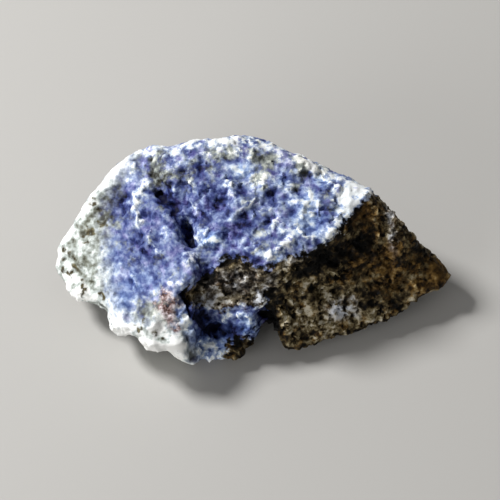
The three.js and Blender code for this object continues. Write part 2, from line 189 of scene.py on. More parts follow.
# Ridges, lumps and grains that stand out: points, half width in squares, height in mm.
crests = [
    # lobe
    ([(-100, 69), (-107, 63), (-112, 56), (-114, 46), (-114, 36), (-111, 28)], 3.2, 0.9),
    ([(-116, 84)], 2.5, 0.4), ([(-117, 75)], 2, 0.3), ([(-121, 70)], 2.5, 0.35),
    ([(-85, 19)], 4, 0.45), ([(-100, 21), (-99, 7), (-93, 1), (-87, -6)], 2, 0.35),
    ([(-85, 35)], 2.5, 0.3), ([(-63, -10)], 7, 0.3), ([(-77, -26)], 3, 0.35),
    ([(-68, -33), (-78, -35)], 3.5, 0.2), ([(-116, -28), (-116, -36)], 2, 0.3),
    ([(-64, 68)], 2.5, 0.4), ([(-74, 61)], 2.5, 0.3), ([(-89, 90)], 2, 0.25),
    ([(-98, 95)], 5, 0.35), ([(-83, 93), (-72, 100)], 2.5, 0.35),
    ([(-179, -41), (-168, -47)], 6, 0.7), ([(-134, -76), (-126, -80)], 6, 0.9),
    ([(-100, -95), (-92, -98)], 5, 0.5), ([(-68, 34), (-62, 28)], 4, 0.5),
    # crown
    ([(-12, 97)], 5, 0.45), ([(-6, 103)], 4, 0.3), ([(-43, 95)], 3.5, 0.3),
    ([(-31, 101)], 3.5, 0.3), ([(1, 91)], 2.5, 0.35), ([(-23, 69), (-20, 62), (-17, 54)], 3, 0.45),
    ([(13, 70)], 4.5, 0.25), ([(2, 74)], 3, 0.25), ([(5, 51), (-2, 46), (-9, 37)], 2.3, 0.45),
    ([(28, 30), (23, 24)], 3.5, 0.5), ([(22, 41)], 2, 0.3),
    ([(45, 26), (50, 18), (55, 11)], 2, 0.5), ([(48, 47)], 3.5, 0.35), ([(59, 57)], 3.5, 0.4),
    ([(55, 43)], 3, 0.3), ([(63, 37)], 3, 0.3), ([(50, 30)], 2.5, 0.3),
    ([(40, 10), (34, 5), (26, 0), (17, -7)], 4, 0.6), ([(63, 12)], 2.5, 0.35), ([(73, 7)], 3, 0.35),
    ([(78, 15), (84, 20)], 3, 0.4), ([(86, 32), (92, 36)], 3, 0.45),
    ([(94, 47), (103, 57)], 6, 0.5), ([(86, 61)], 4, 0.35), ([(113, 60), (119, 58)], 2.5, 0.4),
    ([(46, 93), (55, 87), (63, 80), (72, 72), (80, 67)], 2.5, 0.5),
    ([(-52, 13), (-47, 7), (-35, 10)], 3.5, 0.32), ([(-44, 19)], 2.5, 0.3), ([(-39, 39)], 2, 0.25),
    ([(-46, 53)], 2.5, 0.25), ([(-56, 43)], 2.5, 0.3), ([(30, 64)], 2, 0.25),
    ([(40, 67)], 2.5, 0.3), ([(-60, 105), (-40, 108), (-15, 111), (5, 107)], 3, 0.3),
    # brown slope below the crown, and the ledge under it
    ([(-20, -17)], 2.5, 0.35), ([(-25, -27), (-22, -33)], 2.5, 0.35), ([(-3, -20)], 2, 0.3),
    ([(-8, -22)], 3, 0.12), ([(-2, -28)], 2.5, 0.2), ([(13, -25)], 3, 0.35), ([(20, -33)], 3, 0.35),
    ([(13, -45)], 2.5, 0.4), ([(12, -50), (7, -57)], 3.5, 0.7),
    ([(-27, -45), (-35, -52), (-43, -57)], 2.5, 0.7),
    ([(-32, -55), (-18, -53), (-4, -54)], 3, 0.45), ([(-12, -36), (-6, -29)], 2.5, 0.3),
    ([(-35, -38), (-29, -32)], 2.5, 0.3), ([(0, -42), (6, -35)], 2.5, 0.3),
    ([(-45, -42)], 2.5, 0.25),
    # blue pocket and the toe
    ([(-4, -64), (-9, -66)], 3.5, 0.8), ([(0, -71), (0, -77)], 4, 0.6),
    ([(-22, -66), (-26, -68)], 3.5, 0.7), ([(-3, -86)], 4, 0.3), ([(-40, -96), (-47, -94)], 4, 0.8),
    ([(-52, -101)], 4, 0.5), ([(-32, -105), (-40, -107)], 4, 0.8),
    ([(-12, -98), (-10, -105)], 4, 0.3),
    # brown side
    ([(40, -12)], 4, 0.4), ([(48, -9)], 3, 0.3), ([(33, -32)], 3.5, 0.35),
    ([(34, -50), (31, -57), (30, -67)], 2, 0.35), ([(40, -45), (48, -40)], 2.5, 0.35),
    ([(62, -31)], 3, 0.3), ([(76, -44)], 3, 0.4), ([(53, -75)], 4, 0.35), ([(64, -76)], 3, 0.3),
    ([(58, -63)], 3, 0.25), ([(87, -55), (83, -60)], 2.5, 0.4), ([(95, -61)], 2.5, 0.35),
    ([(85, -67)], 3, 0.4), ([(103, -52), (99, -57)], 2, 0.35), ([(108, -65)], 2.5, 0.3),
    ([(94, -78)], 3.5, 0.35), ([(82, -76)], 3, 0.3), ([(109, -73)], 3.5, 0.35),
    ([(80, -87)], 3, 0.3), ([(137, 39), (145, 29), (142, 21)], 2.5, 0.45),
    ([(142, 12), (145, 2)], 2.5, 0.4), ([(152, -1)], 3, 0.3), ([(138, -11)], 3.5, 0.35),
    ([(150, -19)], 3.5, 0.35), ([(131, -29)], 3, 0.25), ([(138, -40), (147, -43)], 3, 0.35),
    ([(164, -35)], 2.5, 0.45), ([(159, -31), (170, -40)], 1.5, 0.3),
    ([(167, -26), (163, -48)], 1.5, 0.25), ([(128, 42), (125, 31), (129, 16)], 2.5, 0.35),
]

# Cracks, dips and holes: points, half width in squares, depth in mm.
grooves = [
    # lobe
    ([(-125, 57), (-128, 50)], 3.5, 0.5), ([(-125, 40)], 3, 0.4), ([(-143, 54)], 3, 0.35),
    ([(-151, 53)], 2, 0.2), ([(-132, 64)], 3, 0.3), ([(-114, 91)], 3, 0.3),
    ([(-122, 78)], 2.5, 0.25), ([(-102, 89)], 2.5, 0.3), ([(-105, 34)], 3.5, 0.35),
    ([(-108, 15), (-107, 7)], 3, 0.3), ([(-117, 9), (-105, -3), (-100, -7)], 2, 0.35),
    ([(-89, -11)], 2.5, 0.3), ([(-94, -30)], 3, 0.25), ([(-134, -3)], 3, 0.2),
    ([(-152, -56), (-146, -62)], 5, 0.6), ([(-113, -88)], 4, 0.5), ([(-82, -103)], 4, 0.3),
    # the long crack beside it, and its deep end
    ([(-94, 60)], 3.5, 0.7),
    ([(-94, 60), (-89, 53), (-83, 49), (-78, 44), (-72, 35), (-66, 26), (-62, 18)], 3.2, 0.6),
    ([(-60, 18), (-60, 6)], 3, 1.2), ([(-68, 78)], 3, 0.45), ([(-64, 61)], 2.5, 0.35),
    ([(-68, 70), (-65, 60), (-63, 45), (-62, 38)], 2, 0.3), ([(-80, 64)], 3, 0.4),
    ([(-96, 84)], 2.5, 0.35), ([(-98, 72)], 3, 0.4), ([(-92, 67)], 2.5, 0.3),
    # crown
    ([(-50, 91), (-50, 74)], 3, 0.45), ([(-31, 47)], 4, 0.35), ([(-25, 58)], 3, 0.3),
    ([(-9, 59)], 3.5, 0.4), ([(21, 55)], 6, 0.5), ([(32, 53)], 4, 0.3), ([(48, 60)], 2.8, 0.5),
    ([(59, 76)], 5, 0.45), ([(53, 70)], 3, 0.3), ([(46, 84)], 2.5, 0.4), ([(7, 97)], 2.5, 0.35),
    ([(-6, 35), (3, 24)], 4.5, 0.5), ([(17, 30)], 3.5, 0.4), ([(42, 37)], 4.5, 0.45),
    ([(36, 26)], 2.5, 0.3), ([(73, 37), (79, 44)], 3.5, 0.3), ([(59, 5)], 3, 0.4),
    ([(67, 9)], 2.5, 0.35), ([(48, 6)], 3, 0.35),
    ([(-28, -6), (-15, -5), (-5, -5), (8, -12)], 3, 0.35),
    # brown slope below the crown
    ([(-27, -15)], 3.5, 0.45), ([(-42, -22)], 5, 0.5), ([(12, -17)], 2.5, 0.3),
    ([(7, -30)], 2.5, 0.35), ([(-38, -47)], 3, 0.35), ([(-14, -27)], 2.5, 0.3),
    ([(-18, -36)], 2, 0.3), ([(-4, -38)], 2.5, 0.3), ([(-50, -33)], 3, 0.4), ([(-53, -47)], 4, 0.6),
    ([(-65, -84), (-61, -94), (-57, -108)], 2.5, 0.6), ([(-66, -46)], 4, 1.4),
    ([(-62, -50), (-60, -60), (-58, -66)], 2.5, 1.0),
    # blue pocket and the notch
    ([(-50, -67)], 5, 0.8), ([(-43, -80), (-30, -82), (-17, -80)], 4.5, 1.0),
    ([(-15, -68)], 2.5, 0.5), ([(-12, -82), (-20, -84)], 4, 0.6), ([(-10, -91)], 3, 0.4),
    ([(12, -62), (18, -68), (22, -75)], 4, 1.0),
    # brown side
    ([(40, -36)], 4, 0.5), ([(37, -53)], 3, 0.45), ([(67, -45)], 4, 0.5), ([(43, -73)], 3, 0.35),
    ([(53, -87)], 3, 0.35), ([(85, -42)], 4, 0.35), ([(125, -43)], 6, 0.3), ([(55, -22)], 4, 0.3),
    ([(75, -72)], 3, 0.35), ([(112, -55)], 3, 0.3), ([(150, -50)], 4, 0.25),
]

# Small marks, drawn as the crests are: points, half width in squares, strength.
strokes = {
    # white along the outline: partly the rind's own white, partly a painted highlight on edges that
    # face the light
    "rim": [
        ([(-192, -12), (-188, 8), (-175, 32), (-158, 55), (-140, 75), (-122, 92),
          (-110, 101)], 6.5, 1),
        ([(-192, -12), (-186, -30), (-165, -48), (-145, -60), (-137, -78), (-118, -82), (-100, -95),
          (-80, -103), (-60, -114)], 10, 1),
        ([(-110, 101), (-95, 103), (-70, 104), (-40, 108), (-12, 111), (5, 107), (25, 101),
          (40, 92), (60, 84), (80, 77), (95, 69), (118, 60)], 5, 0.9),
        ([(-94, -80), (-82, -91), (-67, -104)], 9, 1.3),
        ([(-148, -60), (-128, -76), (-108, -86)], 9, 0.7),
    ],
    "freckle": [
        ([(-158, 48)], 3, 0.8), ([(-152, 41)], 3.5, 0.9), ([(-148, 27)], 3.5, 0.9),
        ([(-163, 23)], 2.5, 0.8), ([(-160, 17)], 4, 1), ([(-168, 13)], 3, 0.8),
        ([(-163, 7)], 2.5, 0.7), ([(-179, 10)], 2, 0.7), ([(-188, 1)], 2.5, 1),
        ([(-181, -2)], 3, 0.9), ([(-187, -10)], 2.5, 0.9), ([(-177, -8)], 2.5, 0.8),
        ([(-188, -19)], 2.5, 0.9), ([(-180, -23)], 3, 1), ([(-174, -16)], 4, 1),
        ([(-172, -20)], 3, 0.9), ([(-167, -30)], 3, 1.3), ([(-166, -36), (-166, -46)], 2, 0.9),
        ([(-149, -43), (-147, -47)], 1.8, 0.9), ([(-95, -82)], 2.5, 0.8), ([(-87, -90)], 2.5, 0.9),
        ([(-110, -80)], 2.5, 0.8), ([(-105, -71)], 3, 0.6), ([(-115, -76)], 2, 0.6),
        ([(-158, 33)], 3, 0.6), ([(-171, 23)], 2, 0.5), ([(-152, 10)], 3, 0.4),
    ],
    "rust": [
        ([(-84, -46)], 6.5, 1.1), ([(-89, -55)], 5.5, 1), ([(-81, -60)], 7, 1.2),
        ([(-76, -51)], 5, 1.1), ([(-69, -54)], 3, 0.5), ([(-78, -69)], 6, 1),
        ([(-73, -78)], 5, 0.8),
    ],
}

# Wide soft stains, and painted light and shade: middle, half length and half width in squares,
# turn in degrees, strength.
stainsAndPaintedLight = {
    # partly whitish stone, partly painted highlight on the flank and the lower left tip, which face
    # away from the light
    "white": [
        (-110, 68, 12, 14, 0, 0.42), (-50, 92, 12, 8, 0, 0.4), (-71, -31, 16, 10, -30, 0.3),
        (-109, -50, 14, 9, 0, 0.25), (-72, -52, 9, 8, 0, 0.3), (-57, 29, 16, 8, 0, 0.1),
        (-10, 70, 10, 8, 0, 0.2), (48, 31, 20, 9, 0, 0.12), (-69, -87, 8, 9, 0, 0.2),
        (60, 46, 16, 13, 0, 0.35), (99, 53, 15, 11, 40, 0.6), (30, 10, 13, 10, 30, 0.25),
        (10, 75, 14, 12, 0, 0.15), (88, 24, 16, 9, 42, 0.45), (45, 40, 80, 60, 0, 0.17),
        (-35, 98, 28, 10, 0, 0.2), (25, 28, 10, 12, 0, 0.15), (-118, -35, 24, 20, 0, 0.12),
        (-62, -16, 8, 12, 0, 0.1), (-84, -62, 14, 20, 20, 0.55), (-64, -72, 8, 13, 0, 0.6),
        (-98, 95, 12, 8, 0, 0.1), (-112, -70, 30, 11, -22, 0.4), (20, -4, 8, 7, 50, 0.4),
        (-38, -99, 14, 9, 30, 0.5), (11, -50, 6, 5, 60, 0.4), (88, 52, 10, 8, 0, 0.3),
        (25, 78, 60, 20, -15, 0.2), (-14, 101, 12, 8, 0, 0.35), (-8, 82, 11, 9, 0, 0.25),
        (-96, -80, 12, 10, 0, 0.4), (-146, 36, 10, 11, 0, 0.25), (-151, -31, 12, 11, 0, 0.5),
        (-68, -78, 8, 12, 0, 0.35), (-70, -98, 8, 14, 30, 0.6), (-74, -38, 6, 11, -30, 0.3),
        (-144, -4, 11, 34, 0, 0.25), (103, 40, 9, 5, 45, 0.35),
    ],
    # partly deep indigo stone, partly painted shade in the crevice beside the lobe and in the blue
    # pocket
    "deep": [
        (-33, 68, 24, 11, 0, 0.16), (-90, 29, 9, 9, 0, 0.24), (-24, 21, 20, 15, -30, 0.16),
        (30, 71, 13, 9, 0, 0.3), (70, 30, 8, 8, 0, 0.2), (-71, -9, 9, 9, 0, 0.15),
        (69, 68, 10, 7, -30, 0.12), (-50, 68, 9, 9, 0, 0.12), (-129, -52, 10, 9, 0, 0.25),
        (-31, -90, 12, 9, 0, 0.2), (-35, 50, 22, 16, 0, 0.2), (22, 54, 12, 8, 0, 0.2),
        (-134, 50, 12, 16, 0, 0.25), (-106, 8, 11, 18, 20, 0.15), (-74, 46, 11, 26, 28, 0.25),
        (-50, 82, 7, 12, 0, 0.25), (-42, -72, 16, 12, -20, 0.6), (-54, -86, 8, 10, 0, 0.35),
        (-82, 62, 10, 14, 30, 0.12), (-71, 36, 6, 14, 30, 0.2), (-3, 30, 10, 10, 0, 0.15),
        (4, -8, 8, 5, 0, 0.25), (-2, -78, 10, 12, 0, 0.22), (-38, -100, 18, 9, 20, 0.12),
    ],
    "olive": [
        (-90, 74, 16, 12, -40, 0.7), (-78, 46, 8, 26, 30, 0.25), (-100, 92, 18, 8, 0, 0.4),
        (14, 73, 14, 11, 0, 0.5), (-10, 97, 60, 9, 0, 0.25), (-58, 76, 30, 17, -12, 0.25),
        (-30, 94, 40, 12, 0, 0.14), (45, 84, 36, 14, -20, 0.2), (57, 79, 12, 8, -20, 0.5),
        (77, 44, 9, 12, 0, 0.5), (-42, 75, 10, 16, 0, 0.3), (-100, -58, 14, 10, 0, 0.5),
        (-100, 15, 4, 14, 0, 0.35), (-150, 20, 16, 34, -20, 0.5), (-84, -62, 14, 20, 20, 0.4),
        (25, 70, 40, 30, -20, 0.12),
    ],
    "sky": [
        (-8, 80, 12, 10, 0, 0.7), (57, 30, 20, 20, 0, 0.6), (54, 50, 12, 10, 0, 0.5),
        (-41, 11, 11, 8, 0, 0.9), (-2, -77, 9, 12, 0, 0.5), (-40, -99, 16, 8, 25, 0.5),
        (-10, -67, 12, 5, 0, 0.3), (26, -9, 4, 8, 0, 0.7), (-130, -52, 12, 10, 0, 0.9),
        (-58, -90, 13, 12, 0, 0.5), (-66, -72, 9, 13, 0, 0.6), (32, 69, 12, 8, 0, 0.3),
        (70, 69, 10, 7, -30, 0.5), (-115, -32, 22, 13, 0, 0.4), (-25, -86, 34, 22, 0, 0.4),
        (-85, 19, 6, 6, 0, 0.4), (105, 56, 8, 3, -30, 0.5), (96, 48, 13, 12, 40, 0.7),
        (-140, -10, 12, 24, 0, 0.4), (88, 22, 10, 6, 35, 0.4),
    ],
    "pale": [
        (90, -60, 12, 9, 0, 1.2), (104, -55, 6, 8, 0, 0.5), (140, 32, 12, 4, -70, 0.8),
        (143, 10, 12, 4, -85, 0.55), (-20, -54, 30, 4, 4, 0.3), (40, -10, 12, 6, 0, 0.35),
        (-40, -52, 12, 3, 38, 0.7), (-48, -52, 13, 6, 25, 0.5), (10, -47, 8, 5, 60, 1.0),
        (20, -35, 6, 12, -20, 0.4), (-16, -32, 34, 14, 12, 0.42),
    ],
    # painted light on the lit lower part of the brown side and on the ledge's lit edge
    "light": [
        (75, -70, 48, 20, 15, 0.3), (72, -47, 18, 9, 10, 0.22), (-51, -51, 10, 9, 0, 0.45),
        (-10, -13, 10, 6, 0, 0.25), (90, -72, 12, 8, 0, 0.2), (-10, -90, 9, 7, 0, 0.3),
        (90, -32, 9, 8, 0, 0.15), (91, -61, 11, 8, 0, 0.25), (40, -10, 14, 8, 0, 0.2),
        (45, -55, 16, 25, 0, 0.15), (-42, -52, 11, 4, 35, 0.25),
    ],
    "ochre": [
        (150, -20, 64, 32, -15, 0.6), (103, 33, 12, 9, 45, 0.9), (192, -22, 16, 12, -30, 0.7),
        (122, 34, 18, 12, -60, 0.8), (142, -42, 10, 6, 0, 0.6), (164, -35, 10, 8, 0, 0.3),
        (-20, -54, 12, 5, 0, 0.3), (40, -95, 24, 12, 20, 0.2), (-12, -100, 10, 10, 0, 0.1),
    ],
    # partly darker brown stone, partly painted shade under the ridge, in the notch and on the slope
    # below the lobe
    "murk": [
        (75, -9, 28, 12, 20, 1.2), (110, 13, 18, 22, 30, 0.6), (18, -76, 30, 9, 88, 1.1),
        (-46, -24, 12, 12, 30, 0.5), (20, -95, 16, 20, 0, 0.6), (-10, -101, 14, 9, 0, 0.7),
        (128, -48, 20, 8, 25, 0.35), (55, -24, 16, 6, 10, 0.3), (165, 0, 20, 8, -38, 0.3),
        (160, -12, 42, 16, -25, 0.16), (112, -30, 12, 9, 0, 0.4), (118, -9, 18, 11, -10, 0.3),
        (70, 2, 18, 7, 20, 0.5), (27, -72, 8, 13, 0, 0.8), (-12, -28, 34, 16, 5, 0.46),
        (-8, -50, 24, 6, 5, 0.2), (-31, -10, 10, 7, 0, 0.7), (-22, -14, 24, 5, 0, 0.3),
        (-30, -30, 10, 9, 0, 0.25),
    ],
    "worn": [
        (204, -26, 24, 20, 0, 1.0), (145, -15, 50, 34, -25, 0.7), (70, 6, 40, 14, 25, 0.6),
        (100, 54, 18, 13, 40, 0.8),
    ],
}


def faceFrame(points):
    # along, up and out of the face, in squares, for points in metres
    x, y, z = (points / mm - np.array(face["middle"])).T / face["square"]
    cosine = math.cos(face["lean"])
    sine = math.sin(face["lean"])
    return x, y * cosine + z * sine, z * cosine - y * sine


def lineDistance(u, v, start, end):
    # distance to the straight line between two points
    alongU, alongV = end[0] - start[0], end[1] - start[1]
    length = max(alongU ** 2 + alongV ** 2, 1e-9)  # squared, and above 0 for a single point
    share = np.clip(((u - start[0]) * alongU + (v - start[1]) * alongV) / length, 0, 1)
    return np.hypot(u - start[0] - share * alongU, v - start[1] - share * alongV)


def depthInside(u, v, edge):
    # distance to a closed edge, above 0 inside it and below 0 outside
    nearest = np.full(len(u), np.inf)
    inside = np.zeros(len(u), bool)
    for start, end in zip(edge, edge[1:] + edge[:1]):
        nearest = np.minimum(nearest, lineDistance(u, v, start, end))
        if start[1] != end[1]:
            crossing = start[0] + (v - start[1]) * (end[0] - start[0]) / (end[1] - start[1])
            inside ^= ((start[1] > v) != (end[1] > v)) & (u < crossing)
    return np.where(inside, nearest, -nearest)


def strokeHeight(u, v, lines):
    # the highest of the strokes at each place
    height = np.zeros(len(u))
    for line, reach, strength in lines:
        away = np.min([lineDistance(u, v, a, b) for a, b in zip(line, line[1:] or line)], axis=0)
        height = np.maximum(height, strength * np.exp(-(away / reach) ** 2))
    return height


def stainSum(u, v, spots):
    # the soft spots together, each full in its middle and about a third at its half widths
    total = np.zeros(len(u))
    for middleU, middleV, length, width, turn, strength in spots:
        cosine = math.cos(math.radians(turn))
        sine = math.sin(math.radians(turn))
        along = ((u - middleU) * cosine + (v - middleV) * sine) / length
        across = ((v - middleV) * cosine - (u - middleU) * sine) / width
        total += strength * np.exp(-(along ** 2 + across ** 2) ** 1.5)
    return total


def pointValues(mesh, name):
    values = np.empty(len(mesh.vertices) * 3)
    mesh.vertices.foreach_get(name, values)
    return values.reshape(-1, 3)


def layZones(mesh):
    # writes the zones, marks and stains on a mesh's points
    points = pointValues(mesh, "co")
    normals = pointValues(mesh, "normal")
    noise.seed_set(face["wobbleSeed"])
    size = 1 / (face["wobbleSize"] * mm)
    wander = np.array([noise.noise_vector(Vector(point) * size) for point in points])
    u, v, w = faceFrame(points)
    u = u + face["wobble"] * wander[:, 0]
    v = v + face["wobble"] * wander[:, 1]

    # what is drawn on the face reaches just past its rim and stays off the back
    outward = normals[:, 2] * math.cos(face["lean"]) - normals[:, 1] * math.sin(face["lean"])
    front = np.clip((outward - face["turnedAway"]) / face["turnFade"], 0, 1)
    back = np.clip((-w * face["square"] - face["backFrom"]) / face["backFade"], 0, 1)
    layers = {name: depthInside(u, v, edge) * face["square"] for name, edge in zoneEdges.items()}
    layers.update({name: stainSum(u, v, spots) * front for name, spots in stainsAndPaintedLight.items()})
    layers.update({name: strokeHeight(u, v, lines) * front for name, lines in strokes.items()})
    layers["crest"] = strokeHeight(u, v, crests) * front
    layers["groove"] = strokeHeight(u, v, grooves) * front
    layers["behind"] = back * (1 - front)
    for name, values in layers.items():
        mesh.attributes.new(name, "FLOAT", "POINT").data.foreach_set("value", values)


stone = {
    "weld": 0.001,  # mm, within which the solid's points are joined
    "voxel": 0.36,  # mm, the size of the fine mesh's faces
    "softening": 5,  # rounds of smoothing before the relief goes on
    "sharpAngle": 50,  # degrees, past which an edge is drawn sharp
}

# The relief's sizes and heights in mm. A chip's step and tilt are shares of its size, and the
# calm share is how much of the relief the lobe has.
relief = {
    "Swell Size": 3.6,
    "Swell Height": 0.28,
    "Break Size": 6.0,
    "Chip Size": 2.1,
    "Chip Step": 0.06,
    "Chip Tilt": 0.25,
    "Crumb Size": 1.1,
    "Crumb Step": 0.04,
    "Crumb Tilt": 0.15,
    "Grain Size": 1.8,
    "Grain Height": 0.36,
    "Pit Size": 1.3,
    "Pit Depth": 0.5,
    "Calm Share": 0.55,
    "Seed": 4.0,
}


def reliefTree():
    tree = bpy.data.node_groups.new("stoneRelief", "GeometryNodeTree")
    tree.interface.new_socket("Geometry", in_out="INPUT", socket_type="NodeSocketGeometry")
    tree.interface.new_socket("Softening", in_out="INPUT", socket_type="NodeSocketInt")
    for name in relief:
        tree.interface.new_socket(name, in_out="INPUT", socket_type="NodeSocketFloat")
    tree.interface.new_socket("Material", in_out="INPUT", socket_type="NodeSocketMaterial")
    tree.interface.new_socket("Geometry", in_out="OUTPUT", socket_type="NodeSocketGeometry")
    sheet = Sheet(tree)
    given = sheet.node("NodeGroupInput")
    value = {socket.name: Wire(sheet, socket) for socket in given.socket.node.outputs}

    # round the coarse faces off
    blurred = sheet.node("GeometryNodeBlurAttribute", {"data_type": "FLOAT_VECTOR"}, {
        "Value": sheet.node("GeometryNodeInputPosition"), "Iterations": value["Softening"]})
    soft = sheet.node("GeometryNodeSetPosition", {}, {
        "Geometry": value["Geometry"], "Position": blurred})

    # the seed slides the stone through its patterns, so many mm for each whole number
    inMm = sheet.scaled(sheet.node("GeometryNodeInputPosition"), 1 / mm)
    seed = value["Seed"]
    slide = sheet.node("ShaderNodeCombineXYZ", {}, {0: seed * 17.3, 1: seed * 5.7, 2: seed * 31.1})
    shifted = sheet.vector("ADD", inMm, slide)

    def noiseOf(size, detail):
        return sheet.noise(shifted, size, detail, 0.55)

    def chipsOf(size, step, tilt):
        # small flat faces, each set in or out and tilted by itself
        spot = sheet.shaken(shifted, size, 1.7, 0.5)
        cell = sheet.node("ShaderNodeTexVoronoi", {"feature": "SMOOTH_F1"},
                          {"Vector": spot, "Scale": 1.0, "Smoothness": 0.25}, "Color")
        lean = sheet.vector("SUBTRACT", cell, (0.5, 0.5, 0.5))
        away = sheet.vector("SUBTRACT", spot, sheet.twin(cell, "Position"))
        slope = sheet.vector("DOT_PRODUCT", lean, away, output="Value")
        parts = sheet.node("ShaderNodeSeparateXYZ", {}, {0: lean})
        mixed = parts + sheet.twin(parts, "Y") + sheet.twin(parts, "Z")
        return (mixed * step + slope * 2 * tilt) * size

    def grainsOf(size):
        # rounded grains with gaps between: 1 on a grain and 0 in a gap
        sockets = {"Vector": sheet.shaken(shifted, size, 1.3, 0.9, 2.0), "Scale": 1.0}
        away = sheet.node("ShaderNodeTexVoronoi", {"feature": "F1"}, sockets)
        return 1 - sheet.rise(away, 0.2, 0.72)

    def layer(name):
        settings = {"data_type": "FLOAT"}
        return sheet.node("GeometryNodeInputNamedAttribute", settings, {"Name": name})

    def kept(geometry, name, wire):
        # stores a value on the points, for the material
        settings = {"data_type": "FLOAT", "domain": "POINT"}
        sockets = {"Geometry": geometry, "Name": name, "Value": wire}
        return sheet.node("GeometryNodeStoreNamedAttribute", settings, sockets)

    # the lobe and the worn places are smoother, and some places rougher than others
    calm = 1 - sheet.rise(layer("lobe"), -0.6, 1.2) * (1 - value["Calm Share"])
    calm = calm * (1 - sheet.clamp(layer("worn") + layer("rim") * 0.8) * 0.5)
    calm = calm * sheet.clamp(1 + noiseOf(value["Break Size"], 2.0) * 3, 0.45, 1.4)

    # wide breaks are on the back, and grains and pits mostly on the brown side
    breaks = chipsOf(value["Break Size"], value["Chip Step"], value["Chip Tilt"] * 0.8)
    chips = chipsOf(value["Chip Size"], value["Chip Step"], value["Chip Tilt"])
    crumbs = chipsOf(value["Crumb Size"], value["Crumb Step"], value["Crumb Tilt"])
    swell = noiseOf(value["Swell Size"], 5.0) * 2 * value["Swell Height"]
    brown = sheet.rise(layer("brown"), -0.4, 0.8)
    grains = grainsOf(value["Grain Size"])
    pits = sheet.rise(noiseOf(value["Pit Size"], 2.0), 0.06, 0.18) * (brown * 0.8 + 0.2)
    bedded = (grains - 0.6) * value["Grain Height"] * (brown * 0.75 + 0.25)
    fine = (swell + chips + crumbs + bedded - pits * value["Pit Depth"]) * calm
    fine = fine + breaks * sheet.clamp(layer("behind") + 0.12)
    ragged = sheet.clamp(1 + noiseOf(value["Crumb Size"] * 1.3, 2.0) * 3, 0.3, 1.7)
    height = fine + (layer("crest") - layer("groove")) * ragged

    # less and less of it down towards what the stone rests on, and nothing goes below that
    level = sheet.node("ShaderNodeSeparateXYZ", {}, {0: inMm}, "Z")
    height = height * sheet.rise(level, 0.15, 2.5)
    push = sheet.scaled(sheet.node("GeometryNodeInputNormal"), height * mm)
    # the relief's height and grains are kept for the material, which paints light on bumps and
    # shade in dips from them
    marked = kept(kept(kept(soft, "fine", fine), "grains", grains), "pits", pits)
    raised = sheet.node("GeometryNodeSetPosition", {}, {"Geometry": marked, "Offset": push})
    lowest = (-1.0, -1.0, 0.0)  # m, far off the stone but for its height
    held = sheet.vector("MAXIMUM", sheet.node("GeometryNodeInputPosition"), lowest)
    rested = sheet.node("GeometryNodeSetPosition", {}, {"Geometry": raised, "Position": held})
    real = sheet.node("GeometryNodeRealizeInstances", {}, {0: rested})
    dressed = sheet.node("GeometryNodeSetMaterial", {}, {
        "Geometry": real, "Material": value["Material"]})
    sheet.node("NodeGroupOutput", {}, {0: dressed})
    return tree


# The colour's soft patterns: the size in mm, the detail and the roughness of each.
patterns = {
    "cluster": (6.5, 3.0, 0.5),
    "lump": (3.0, 3.0, 0.55),
    "grit": (1.5, 3.0, 0.6),
    "speck": (0.6, 2.0, 0.5),
    "wobble": (2.2, 4.0, 0.6),
    "streak": (1.5, 3.0, 0.55),
    "tint": (3.0, 4.0, 0.6),
    "blot": (0.95, 3.0, 0.6),
    "bump": (0.5, 4.0, 0.6),
}

# Each zone's own tone, between its darkest colour at 0 and its lightest at 1, and how strongly
# each pattern changes it. The fine weight paints light on the relief's bumps and shade in its dips.
tones = {"blue": 0.51, "rind": 0.4, "brown": 0.52}
weights = {
    "blue": {"lump": 0.66, "grit": 0.4, "blot": 0.13, "facet": 0.16, "crisp": 0.12},
    "rind": {"lump": 1.2, "grit": 1.2, "cluster": 0.8, "flake": 0.1, "fine": 0.4},
    "brown": {"lump": 1.3, "grit": 1.7, "blot": 0.65, "facet": 0.45, "flake": 0.12, "fine": 0.35},
}

# The colours of each kind of stone by tone, as red, green and blue from 0 to 255.
colours = {
    "blue": [(0.0, (14, 16, 42)), (0.16, (37, 45, 96)), (0.36, (77, 89, 141)),
             (0.54, (114, 127, 168)), (0.72, (157, 171, 203)), (0.86, (208, 219, 233)),
             (1.0, (247, 250, 251))],
    "sky": [(0.0, (12, 20, 46)), (0.25, (56, 80, 136)), (0.5, (112, 138, 194)),
            (0.75, (172, 196, 232)), (1.0, (244, 250, 252))],
    "violet": [(0.0, (16, 12, 36)), (0.16, (44, 39, 86)), (0.36, (85, 82, 139)),
               (0.54, (121, 121, 170)), (0.72, (168, 168, 208)), (0.86, (214, 216, 238)),
               (1.0, (248, 248, 252))],
    "grey": [(0.0, (12, 11, 8)), (0.25, (62, 62, 56)), (0.5, (120, 125, 124)),
             (0.75, (182, 187, 178)), (1.0, (249, 249, 243))],
    "rind": [(0.0, (78, 78, 66)), (0.25, (126, 129, 118)), (0.5, (176, 183, 178)),
             (0.7, (218, 224, 221)), (0.85, (242, 245, 242)), (1.0, (252, 252, 249))],
    "olive": [(0.0, (20, 17, 11)), (0.4, (64, 57, 39)), (0.7, (110, 104, 78)),
              (1.0, (168, 164, 142))],
    "rust": [(0.0, (34, 22, 20)), (0.3, (92, 66, 60)), (0.6, (154, 130, 128)),
             (1.0, (236, 226, 230))],
    "brown": [(0.0, (3, 2, 1)), (0.2, (24, 18, 9)), (0.4, (65, 54, 34)), (0.6, (107, 94, 66)),
              (0.8, (148, 136, 106)), (1.0, (198, 190, 170))],
    "ochre": [(0.0, (3, 2, 1)), (0.22, (31, 21, 8)), (0.45, (77, 55, 24)),
              (0.7, (130, 101, 54)), (1.0, (194, 170, 122))],
    "pale": [(0.0, (6, 6, 9)), (0.25, (44, 46, 52)), (0.5, (100, 103, 112)),
             (0.75, (158, 163, 174)), (1.0, (224, 227, 234))],
    "skin": [(0.0, (30, 26, 20)), (0.35, (88, 84, 78)), (0.65, (138, 138, 132)),
             (1.0, (206, 204, 194))],
}

